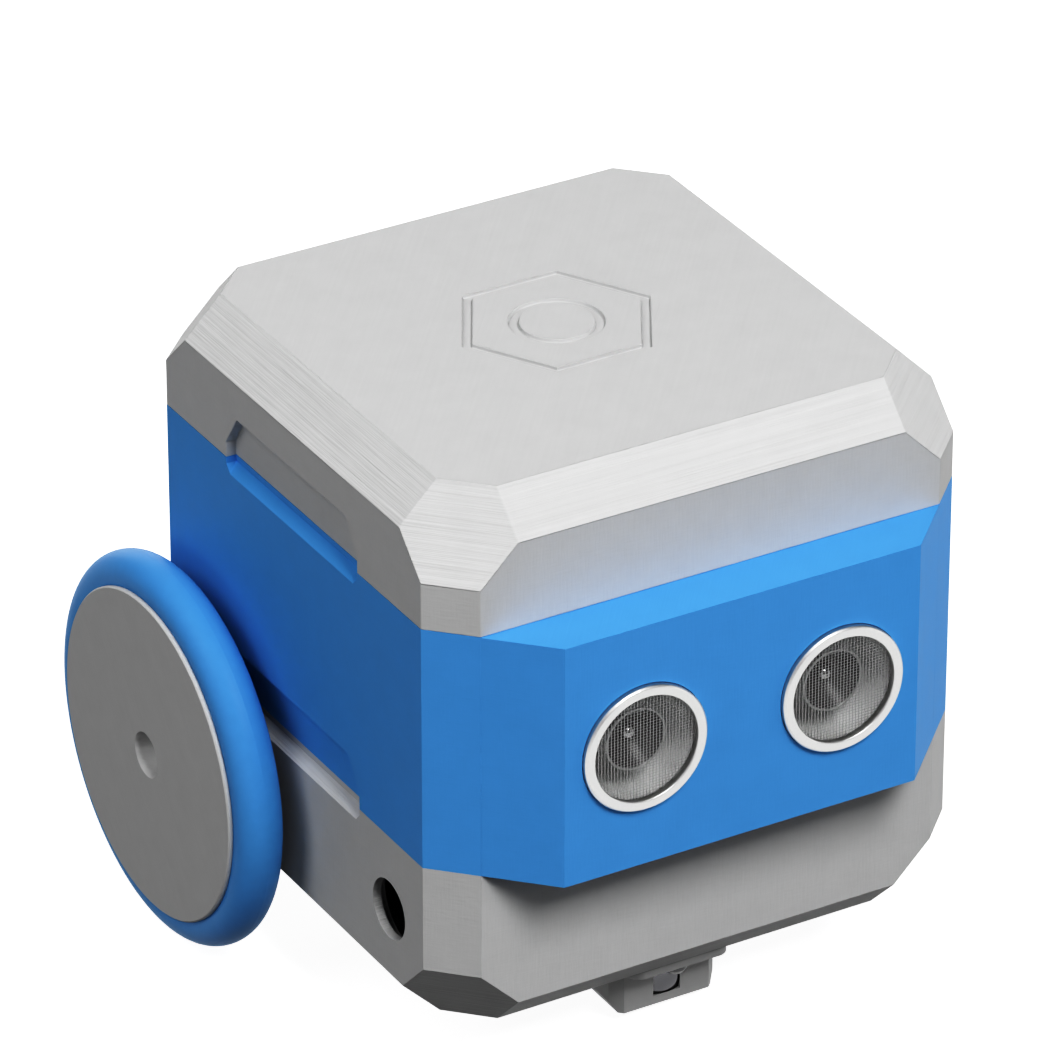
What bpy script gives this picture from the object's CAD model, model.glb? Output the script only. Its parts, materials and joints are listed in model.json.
"""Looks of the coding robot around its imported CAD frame. Metres, +Z up, front towards -Y."""

import json
import math

import bpy
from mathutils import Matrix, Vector


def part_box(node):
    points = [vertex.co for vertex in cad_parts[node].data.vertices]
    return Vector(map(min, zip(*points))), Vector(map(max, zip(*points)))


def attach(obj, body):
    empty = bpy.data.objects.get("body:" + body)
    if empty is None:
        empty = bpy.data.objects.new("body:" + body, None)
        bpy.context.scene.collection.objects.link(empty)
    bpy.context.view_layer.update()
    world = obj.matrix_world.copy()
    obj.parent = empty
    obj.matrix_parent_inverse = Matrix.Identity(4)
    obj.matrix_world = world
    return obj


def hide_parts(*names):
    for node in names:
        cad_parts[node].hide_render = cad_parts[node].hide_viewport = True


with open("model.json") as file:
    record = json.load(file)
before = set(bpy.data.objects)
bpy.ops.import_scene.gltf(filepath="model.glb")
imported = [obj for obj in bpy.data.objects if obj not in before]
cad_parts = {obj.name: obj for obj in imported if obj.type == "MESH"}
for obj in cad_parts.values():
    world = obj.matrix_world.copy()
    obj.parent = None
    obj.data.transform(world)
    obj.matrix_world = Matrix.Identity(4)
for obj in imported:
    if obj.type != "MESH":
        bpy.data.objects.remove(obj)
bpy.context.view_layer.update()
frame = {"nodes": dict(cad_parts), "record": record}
nodes = frame["nodes"]
body_of = {n: b for b, ns in frame["record"]["behaviour"]["bodies"].items() for n in ns}
slot_of = {s["node"]: s["material_slot"] for s in frame["record"]["subparts"]}
MM = 0.001


# ---- camera ----

AZIMUTH, ELEVATION = math.radians(-30.05), math.radians(29.475)
TARGET = Vector((-4.20, -1.245, 54.22)) * MM
CAMERA_DISTANCE = 0.94184
back = Vector((
    math.sin(AZIMUTH) * math.cos(ELEVATION),
    -math.cos(AZIMUTH) * math.cos(ELEVATION),
    math.sin(ELEVATION),
))
camera = bpy.data.objects.new("camera", bpy.data.cameras.new("camera"))
bpy.context.scene.collection.objects.link(camera)
camera.location = TARGET + back * CAMERA_DISTANCE
camera.rotation_mode = "QUATERNION"
camera.rotation_quaternion = (-back).to_track_quat("-Z", "Y")
camera.data.sensor_width = 36
camera.data.lens = 277.75
camera.data.clip_start, camera.data.clip_end = 0.05, 20
bpy.context.scene.camera = camera


# ---- material nodes ----

def new_material(name):
    material = bpy.data.materials.new(name)
    material.use_nodes = True
    return material, material.node_tree


def add(tree, kind, inputs=None, **props):
    node = tree.nodes.new("ShaderNode" + kind)
    for key, value in props.items():
        setattr(node, key, value)
    for key, value in (inputs or {}).items():
        if isinstance(value, bpy.types.NodeSocket):
            tree.links.new(value, node.inputs[key])
        else:
            node.inputs[key].default_value = value
    return node


def calc(tree, operation, a, b=0.0, c=0.0, clamp=False):
    return add(tree, "Math", {0: a, 1: b, 2: c}, operation=operation, use_clamp=clamp).outputs[0]


def placed(tree, per_mm, turn=(0, 0, 0)):
    """Object coordinates turned by angles in degrees, then scaled to cells per millimetre."""
    where = add(tree, "TexCoord").outputs["Object"]
    turned = add(tree, "Mapping", {"Vector": where, "Rotation": [math.radians(t) for t in turn]})
    per_metre = [1000 * s for s in per_mm]
    return add(tree, "Mapping", {"Vector": turned.outputs[0], "Scale": per_metre}).outputs[0]


def noise(tree, per_mm, detail=2.0, rough=0.55, turn=(0, 0, 0)):
    if not isinstance(per_mm, tuple):
        per_mm = (per_mm,) * 3
    return add(tree, "TexNoise", {
        "Vector": placed(tree, per_mm, turn), "Scale": 1.0, "Detail": detail, "Roughness": rough,
    }).outputs["Fac"]


def normal_part(tree, axis):
    """Size of one component of the surface's own normal, so it turns with the piece."""
    split = add(tree, "SeparateXYZ", {0: add(tree, "TexCoord").outputs["Normal"]})
    return split.outputs[axis]


def step(tree, value, low, high):
    return add(tree, "MapRange", {"Value": value, "From Min": low, "From Max": high}, clamp=True).outputs[0]


def tint(tree, factor, dark, light):
    mix = add(tree, "Mix", {"Factor": factor}, data_type="RGBA")
    mix.inputs[6].default_value = (*dark, 1)
    mix.inputs[7].default_value = (*light, 1)
    return mix.outputs[2]


def scaled(color, by):
    return tuple(min(1.0, c * by) for c in color)


def finish_surface(tree, height, depth_mm, strength):
    shader = tree.nodes["Principled BSDF"]
    bump = add(tree, "Bump", {"Height": height, "Strength": strength, "Distance": depth_mm * MM})
    tree.links.new(bump.outputs[0], shader.inputs["Normal"])


def set_shader(tree, color=None, rough=0.5, metallic=0.0, **sockets):
    shader = tree.nodes["Principled BSDF"]
    if isinstance(color, bpy.types.NodeSocket):
        tree.links.new(color, shader.inputs["Base Color"])
    else:
        shader.inputs["Base Color"].default_value = (*color, 1)
    if isinstance(rough, bpy.types.NodeSocket):
        tree.links.new(rough, shader.inputs["Roughness"])
    else:
        shader.inputs["Roughness"].default_value = rough
    shader.inputs["Metallic"].default_value = metallic
    for key, value in sockets.items():
        shader.inputs[key.replace("_", " ")].default_value = value


def spread(tree, value, low, high):
    return add(tree, "MapRange", {"Value": value, "To Min": low, "To Max": high}).outputs[0]


def shell_material(name, color, rough, lines, weave, diagonal=0.6, side_lines=0.0):
    """Printed plastic: contour lines on slopes, diagonal lines on the top, faint weave on walls."""
    material, tree = new_material(name)
    up = calc(tree, "ABSOLUTE", normal_part(tree, 2))
    is_top = step(tree, up, 0.93, 0.98)
    is_wall = step(tree, up, 0.25, 0.1)
    is_slope = calc(tree, "SUBTRACT", calc(tree, "SUBTRACT", 1.0, is_top), is_wall, clamp=True)
    contour = noise(tree, (0.05, 0.05, 3.8), 2.0, 0.6)
    broad = noise(tree, (0.03, 0.03, 1.5), 1.0)
    strokes = noise(tree, (0.07, 2.6, 0.07), 3.0, 0.6, turn=(0, 0, -51))
    across = noise(tree, (0.5, 0.5, 4.0), 1.0)
    along = noise(tree, (3.6, 3.6, 0.4), 1.0)
    grain = noise(tree, 9.0, 2.0)
    ribs = calc(tree, "ADD", calc(tree, "MULTIPLY", contour, 0.75), calc(tree, "MULTIPLY", broad, 0.4))
    height = calc(tree, "MULTIPLY", calc(tree, "MULTIPLY", ribs, is_slope), lines)
    drawn = calc(tree, "MULTIPLY", strokes, is_top)
    height = calc(tree, "ADD", height, calc(tree, "MULTIPLY", drawn, diagonal))
    threads = calc(tree, "ADD", across, calc(tree, "MULTIPLY", along, 0.6))
    cloth = calc(tree, "MULTIPLY", threads, is_wall)
    height = calc(tree, "ADD", height, calc(tree, "MULTIPLY", cloth, weave))
    height = calc(tree, "ADD", height, calc(tree, "MULTIPLY", grain, 0.03))
    if side_lines:
        sideways = step(tree, calc(tree, "ABSOLUTE", normal_part(tree, 0)), 0.93, 0.98)
        scores = noise(tree, (0.1, 3.6, 0.1), 3.0, 0.6, turn=(38, 0, 0))
        scored = calc(tree, "MULTIPLY", scores, sideways)
        height = calc(tree, "ADD", height, calc(tree, "MULTIPLY", scored, side_lines))
    mottle = noise(tree, 0.25, 3.0)
    shade = calc(tree, "ADD", calc(tree, "MULTIPLY", mottle, 0.35), calc(tree, "MULTIPLY", height, 0.65))
    set_shader(
        tree, tint(tree, shade, scaled(color, 0.88), scaled(color, 1.11)),
        spread(tree, mottle, rough - 0.05, rough + 0.06), Specular_IOR_Level=0.05,
    )
    finish_surface(tree, height, 0.1, 1.0)
    return material


def plain_material(
    name, color, rough, metallic=0.0, grain=4.0, depth=0.01, strength=0.3, vary=0.06, **sockets
):
    """Moulded or machined surface with a fine grain and slight changes of tone and gloss."""
    material, tree = new_material(name)
    fine = noise(tree, grain, 3.0)
    soft = noise(tree, grain * 0.12, 3.0)
    set_shader(
        tree, tint(tree, soft, scaled(color, 1 - vary), scaled(color, 1 + vary)),
        spread(tree, fine, rough - 0.05, rough + 0.07), metallic, **sockets,
    )
    finish_surface(tree, calc(tree, "ADD", fine, soft), depth, strength)
    return material


def streaked_metal(name, color, rough, per_mm, turn=(0, 0, 0), strength=0.25, depth=0.008):
    """Drawn or turned metal with fine streaks along one direction."""
    material, tree = new_material(name)
    streak = noise(tree, per_mm, 3.0, 0.6, turn)
    soft = noise(tree, 0.4, 3.0)
    gloss = calc(tree, "ADD", calc(tree, "MULTIPLY", streak, 0.6), calc(tree, "MULTIPLY", soft, 0.4))
    set_shader(
        tree, tint(tree, streak, scaled(color, 0.9), scaled(color, 1.06)),
        spread(tree, gloss, rough - 0.07, rough + 0.09), 1.0,
    )
    finish_surface(tree, streak, depth, strength)
    return material


def board_material(name):
    """Green solder mask over faint copper tracks, with a woven core showing through."""
    material, tree = new_material(name)
    tracks = add(tree, "TexBrick", {
        "Vector": placed(tree, (1, 1, 1), (0, 0, 45)), "Scale": 1.0, "Mortar Size": 0.12,
        "Mortar Smooth": 0.3, "Brick Width": 3.4, "Row Height": 1.1,
        "Color1": (0, 0, 0, 1), "Color2": (0.2, 0.2, 0.2, 1), "Mortar": (1, 1, 1, 1),
    }).outputs["Color"]
    weave = calc(tree, "ADD", noise(tree, (3, 0.5, 3)), noise(tree, (0.5, 3, 3)))
    level = calc(tree, "ADD", calc(tree, "MULTIPLY", tracks, 0.7), calc(tree, "MULTIPLY", weave, 0.2))
    set_shader(tree, tint(tree, level, (0.004, 0.07, 0.03), (0.02, 0.2, 0.08)), 0.32)
    finish_surface(tree, level, 0.03, 0.4)
    return material


def wound_material(name):
    """Enamelled copper wire, wound in fine turns over steel laminations."""
    material, tree = new_material(name)
    turns = add(tree, "TexWave", {
        "Vector": placed(tree, (1, 1, 1)), "Scale": 1.4, "Distortion": 0.6, "Detail": 2.0,
    }, bands_direction="X", wave_profile="SIN").outputs["Fac"]
    set_shader(tree, tint(tree, turns, (0.28, 0.08, 0.03), (0.72, 0.3, 0.12)), 0.35, 0.9)
    finish_surface(tree, turns, 0.06, 0.6)
    return material


def sleeve_material(name):
    """Wire insulation: one colour a body, with long soft streaks and a slight gloss."""
    material, tree = new_material(name)
    streak = noise(tree, (2.0, 2.0, 0.1), 2.0)
    set_shader(tree, tint(tree, streak, (0.03, 0.03, 0.035), (0.09, 0.09, 0.1)), 0.4)
    finish_surface(tree, streak, 0.02, 0.3)
    return material


GREY = (0.61, 0.61, 0.61)
BLUE = (0.13, 0.41, 0.86)

finish_for = {
    "grey_shell": shell_material("printed_grey", GREY, 0.5, 1.5, 0.20, 0.34),
    "blue_shell": shell_material("printed_blue", BLUE, 0.48, 0.25, 0.12, 0.2),
    "blue_tyre": plain_material(
        "tyre_rubber", scaled(BLUE, 0.84), 0.45, 0, 6.0, 0.01, 0.25, 0.04, Specular_IOR_Level=0.1,
    ),
    "sensor_metal": streaked_metal("satin_aluminium", (0.52, 0.52, 0.515), 0.42, (3, 0.3, 3), strength=0.12),
    "sensor_gauze": plain_material("gauze_wire", (0.36, 0.36, 0.36), 0.45, 0.8, 8.0),
    "dark_plastic": plain_material("black_plastic", (0.022, 0.022, 0.024), 0.5, 0, 5.0),
    "circuit_board": board_material("green_board"),
    "ivory_plastic": plain_material("ivory_nylon", (0.72, 0.67, 0.52), 0.45, 0, 3.0, Subsurface_Weight=0.05),
    "lead": sleeve_material("wire_sleeve"),
    "battery_wrap": plain_material("shrink_wrap", (0.16, 0.24, 0.36), 0.28, 0, 0.6, 0.05, 0.35),
    "steel": streaked_metal("plated_steel", (0.62, 0.62, 0.63), 0.3, (2.5, 2.5, 0.3)),
    "brass_gear": streaked_metal("brass", (0.78, 0.56, 0.22), 0.28, (3, 3, 3)),
    "magnet": plain_material("magnet_coat", (0.12, 0.12, 0.13), 0.35, 0.8, 4.0),
    "winding": wound_material("copper_winding"),
    "caster_plastic": plain_material("caster_nylon", (0.42, 0.42, 0.42), 0.5, 0, 5.0, 0.015, 0.35, 0.05),
    "ball_steel": plain_material("polished_ball", (0.12, 0.12, 0.125), 0.1, 1.0, 2.0, 0.0005, 0.1, 0.01),
}
hub_finish = shell_material("printed_hub", GREY, 0.5, 0.9, 0.0, 0.3, 0.35)
caster_screw_finish = plain_material("dark_screw", (0.09, 0.09, 0.09), 0.3, 0.9, 4.0)
transducer_base_finish = plain_material("transducer_base", (0.66, 0.66, 0.66), 0.5, 0.1, 5.0)
transducer_horn_finish = plain_material("transducer_horn", (0.05, 0.05, 0.05), 0.35, 0.4, 5.0)
tip_finish = plain_material("polished_tip", (0.4, 0.4, 0.4), 0.2, 1.0, 2.0, 0.001, 0.1, 0.01)
lip_finish = plain_material("horn_lip", (0.4, 0.4, 0.4), 0.3, 0.6, 4.0)

for name, obj in nodes.items():
    finish = finish_for[slot_of[name]]
    if name.endswith("wheel_hub"):
        finish = hub_finish
    if name == "caster_screws":
        finish = caster_screw_finish
    obj.data.materials.clear()
    obj.data.materials.append(finish)


# ---- softened edges on the CAD pieces ----

# Merging the flat faces of these would give a face that closes across a mouth or shades badly.
KEPT_TRIANGLES = ("middle_shell", "controller_module", "power_button", "sensor_chips")


def soften(name, width_mm, angle=28, segments=2):
    obj = nodes[name]
    weld = obj.modifiers.new("weld", "WELD")
    weld.merge_threshold = 2e-6
    if name not in KEPT_TRIANGLES:
        flat = obj.modifiers.new("flat", "DECIMATE")
        flat.decimate_type = "DISSOLVE"
        flat.angle_limit = math.radians(0.3)
    edge = obj.modifiers.new("edge", "BEVEL")
    edge.width = width_mm * MM
    edge.segments = segments
    edge.limit_method = "ANGLE"
    edge.angle_limit = math.radians(angle)
    edge.miter_outer = "MITER_ARC"
    even = obj.modifiers.new("even", "WEIGHTED_NORMAL")
    even.mode = "FACE_AREA"
    even.weight = 80


for name, width in {
    "top_cover": 0.12, "middle_shell": 0.15, "base_shell": 0.12, "face_panel": 0.17,
    "left_wheel_hub": 0.15, "right_wheel_hub": 0.15, "caster_housing": 0.25,
    "battery_cradle": 0.3, "power_button": 0.15, "controller_module": 0.15,
    "buzzer": 0.3, "board_chips": 0.1, "sensor_chips": 0.1, "main_board": 0.08,
    "sensor_board": 0.08, "left_sensor_can": 0.28, "right_sensor_can": 0.28,
    "board_sockets": 0.12, "sensor_socket": 0.12, "sensor_plug": 0.2,
    "charging_socket": 0.08, "motor_brackets": 0.12, "caster_screws": 0.08,
}.items():
    soften(name, width)


# ---- mesh helpers ----

def make(name, verts, faces, body, slot, finish, smooth=True, stands_for=()):
    mesh = bpy.data.meshes.new(name)
    mesh.from_pydata(verts, [], faces)
    mesh.validate()
    mesh.update()
    mesh.materials.append(finish)
    if smooth:
        mesh.polygons.foreach_set("use_smooth", [True] * len(mesh.polygons))
    obj = bpy.data.objects.new(name, mesh)
    bpy.context.scene.collection.objects.link(obj)
    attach(obj, body)
    if stands_for:
        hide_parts(*stands_for)
    return obj


def lathe(profile, centre, turns=64):
    """Closed ring of a (radius, depth) outline turned about the axis that looks out of the face (-Y)."""
    verts, faces = [], []
    for i in range(turns):
        a = 2 * math.pi * i / turns
        for r, d in profile:
            x, z = r * math.cos(a) * MM, r * math.sin(a) * MM
            verts.append((centre[0] + x, centre[1] - d * MM, centre[2] + z))
    n = len(profile)
    for i in range(turns):
        for j in range(n):
            a, b = i * n + j, i * n + (j + 1) % n
            c, d = ((i + 1) % turns) * n + (j + 1) % n, ((i + 1) % turns) * n + j
            faces.append((a, b, c, d))
    return verts, faces


def add_wire(verts, faces, points, radius, across, sides=5):
    """Sweeps a round wire along points; across is a direction square to the whole wire."""
    first = len(verts)
    for k, p in enumerate(points):
        ahead = points[min(k + 1, len(points) - 1)] - points[max(k - 1, 0)]
        u = across.normalized()
        v = ahead.cross(u).normalized()
        for s in range(sides):
            a = 2 * math.pi * s / sides
            verts.append(p + (u * math.cos(a) + v * math.sin(a)) * radius)
    for k in range(len(points) - 1):
        for s in range(sides):
            a, b = first + k * sides + s, first + k * sides + (s + 1) % sides
            faces.append((a, b, b + sides, a + sides))
    faces.append(tuple(first + s for s in reversed(range(sides))))
    faces.append(tuple(first + (len(points) - 1) * sides + s for s in range(sides)))


# ---- the sensor's woven gauze and the transducers behind it ----

WARP_PITCH, WEFT_PITCH = 0.42, 0.36
WARP_R, WEFT_R = 0.055, 0.032
GAUZE_FORWARD = 0.22
TIP_R, TIP_SUNK = 1.1, 2.1


def gauze(side):
    """Round gauze woven from upright warp wires and level weft wires."""
    low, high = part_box(f"{side}_sensor_mesh")
    centre = (low + high) / 2 - Vector((0, GAUZE_FORWARD, 0)) * MM
    reach = (high.x - low.x) / 2 / MM - 0.03
    lift = (WARP_R + WEFT_R) / 2
    verts, faces = [], []
    columns, rows = int(reach / WARP_PITCH), int(reach / WEFT_PITCH)
    for i in range(-columns, columns + 1):
        x = i * WARP_PITCH
        half = math.sqrt(reach * reach - x * x)
        points = [Vector((x, 0, -half))]
        points += [
            Vector((x, lift if (i + j) % 2 else -lift, j * WEFT_PITCH))
            for j in range(-rows, rows + 1) if abs(j * WEFT_PITCH) < half - 0.1
        ]
        points.append(Vector((x, 0, half)))
        if len(points) > 4:
            add_wire(verts, faces, points, WARP_R, Vector((1, 0, 0)))
    for j in range(-rows, rows + 1):
        z = j * WEFT_PITCH
        half = math.sqrt(reach * reach - z * z)
        points = [Vector((-half, 0, z))]
        points += [
            Vector((i * WARP_PITCH, -lift if (i + j) % 2 else lift, z))
            for i in range(-columns, columns + 1) if abs(i * WARP_PITCH) < half - 0.1
        ]
        points.append(Vector((half, 0, z)))
        if len(points) > 4:
            add_wire(verts, faces, points, WEFT_R, Vector((0, 0, 1)))
    verts = [centre + v * MM for v in verts]
    return make(f"{side}_gauze", verts, faces, "middle", "sensor_gauze", finish_for["sensor_gauze"],
                stands_for=(f"{side}_sensor_mesh",))


def transducer(side):
    """The can's lining and base plate, with the dark horn, its lip and its polished tip."""
    low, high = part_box(f"{side}_sensor_cone")
    centre = Vector(((low.x + high.x) / 2, high.y, (low.z + high.z) / 2))
    depth = (high.y - low.y) / MM
    base = [
        (0.01, 0), (7.05, 0), (7.05, depth + 1.3), (6.93, depth + 1.3), (6.93, 1.5),
        (6.2, 1.5), (6.05, 1.3), (5.6, 1.3), (5.45, 1.5),
        (2.6, 1.5), (2.4, 1.75), (1.5, 1.85), (0.01, 1.85),
    ]
    horn = [
        (0.01, 1.9), (1.15, 1.9), (1.15, depth - 3.2), (1.5, depth - 2.9), (2.7, depth - 1.6),
        (3.75, depth - 0.12), (3.88, depth), (3.72, depth), (3.55, depth - 0.16), (2.4, depth - 1.7),
        (1.25, depth - 2.7), (0.62, depth - 2.8), (0.6, depth - 2.5), (0.42, depth - 2.2),
        (0.2, depth - 2.07), (0.01, depth - 2.02),
    ]
    plate = make(f"{side}_transducer_base", *lathe(base, centre), "middle", "sensor_metal",
                 transducer_base_finish, stands_for=(f"{side}_sensor_cone",))
    make(f"{side}_transducer_horn", *lathe(horn, centre), "middle", "dark_plastic", transducer_horn_finish)
    lip = [
        (3.66, depth - 0.1), (3.94, depth - 0.1), (3.94, depth + 0.06),
        (3.8, depth + 0.12), (3.66, depth + 0.06),
    ]
    make(f"{side}_transducer_lip", *lathe(lip, centre), "middle", "sensor_metal", lip_finish)
    foot = depth - TIP_SUNK
    tip = [(0.01, foot)] + [
        (TIP_R * math.cos(a), foot + TIP_R * math.sin(a))
        for a in (math.radians(15 * k) for k in range(6))
    ] + [(0.01, foot + TIP_R)]
    make(f"{side}_transducer_tip", *lathe(tip, centre, 32), "middle", "sensor_metal", tip_finish)
    return plate


for side in ("left", "right"):
    gauze(side)
    transducer(side)


# ---- floor, lights and surroundings ----

floor_mesh = bpy.data.meshes.new("floor")
floor_mesh.from_pydata([(-6, -6, 0), (6, -6, 0), (6, 6, 0), (-6, 6, 0)], [], [(0, 1, 2, 3)])
floor = bpy.data.objects.new("floor", floor_mesh)
bpy.context.scene.collection.objects.link(floor)
floor_finish, tree = new_material("pale_floor")
shader = tree.nodes["Principled BSDF"]
shader.inputs["Base Color"].default_value = (0.5, 0.5, 0.5, 1)
shader.inputs["Roughness"].default_value = 0.9
shader.inputs["Emission Color"].default_value = (1, 1, 1, 1)
shader.inputs["Emission Strength"].default_value = 1.12
gone = add(tree, "BsdfTransparent")
choose = add(tree, "MixShader", {
    "Fac": add(tree, "NewGeometry").outputs["Backfacing"], 1: shader.outputs[0], 2: gone.outputs[0],
})
tree.links.new(choose.outputs[0], tree.nodes["Material Output"].inputs["Surface"])
floor_mesh.materials.append(floor_finish)
floor.visible_diffuse = False  # so that its glow doesn't light the underside

world = bpy.data.worlds.new("studio")
bpy.context.scene.world = world
world.use_nodes = True
tree = world.node_tree
height = add(tree, "SeparateXYZ", {0: add(tree, "TexCoord").outputs["Generated"]}).outputs[2]
sky = add(tree, "Mix", {"Factor": step(tree, height, -0.3, 0.5)}, data_type="RGBA")
sky.inputs[6].default_value = (0.015, 0.015, 0.0155, 1)
sky.inputs[7].default_value = (0.025, 0.025, 0.0255, 1)
tree.links.new(sky.outputs[2], tree.nodes["Background"].inputs["Color"])


def softbox(name, azimuth, elevation, power, size, distance=1.3):
    """Square light that looks at the object; azimuth 0 is in front and 90 is at the +X side."""
    light = bpy.data.lights.new(name, "AREA")
    light.shape = "SQUARE"
    light.size = size
    light.energy = power
    obj = bpy.data.objects.new(name, light)
    bpy.context.scene.collection.objects.link(obj)
    a, e = math.radians(azimuth), math.radians(elevation)
    aim = Vector((math.sin(a) * math.cos(e), -math.cos(a) * math.cos(e), math.sin(e)))
    obj.location = TARGET + aim * distance
    obj.rotation_mode = "QUATERNION"
    obj.rotation_quaternion = aim.to_track_quat("Z", "Y")
    obj.visible_camera = False
    return obj


softbox("key", 0, 50, 16.7, 0.5)
softbox("left_key", -90, 45, 5.6, 0.7)
softbox("top_back", 180, 60, 1.6, 0.8)
softbox("right_fill", 60, 10, 4.6, 0.7)
softbox("left_fill", -90, 5, 1.5, 0.7)
softbox("front_fill", -45, 10, 1.6, 0.7)
softbox("back_fill", 165, 8, 9, 0.9)

scene = bpy.context.scene
scene.view_settings.view_transform = "Standard"
scene.view_settings.look = "None"
scene.view_settings.use_curve_mapping = True
tone = scene.view_settings.curve_mapping  # deep darks and a soft shoulder under the white
WHITE = 1.25
tone.clip_max_x = WHITE
tone.curves[3].points[1].location = (WHITE, 1.0)
for x, y in ((0.1, 0.033), (0.25, 0.15), (0.5, 0.41), (0.75, 0.675), (0.95, 0.83)):
    tone.curves[3].points.new(x, y)
tone.update()
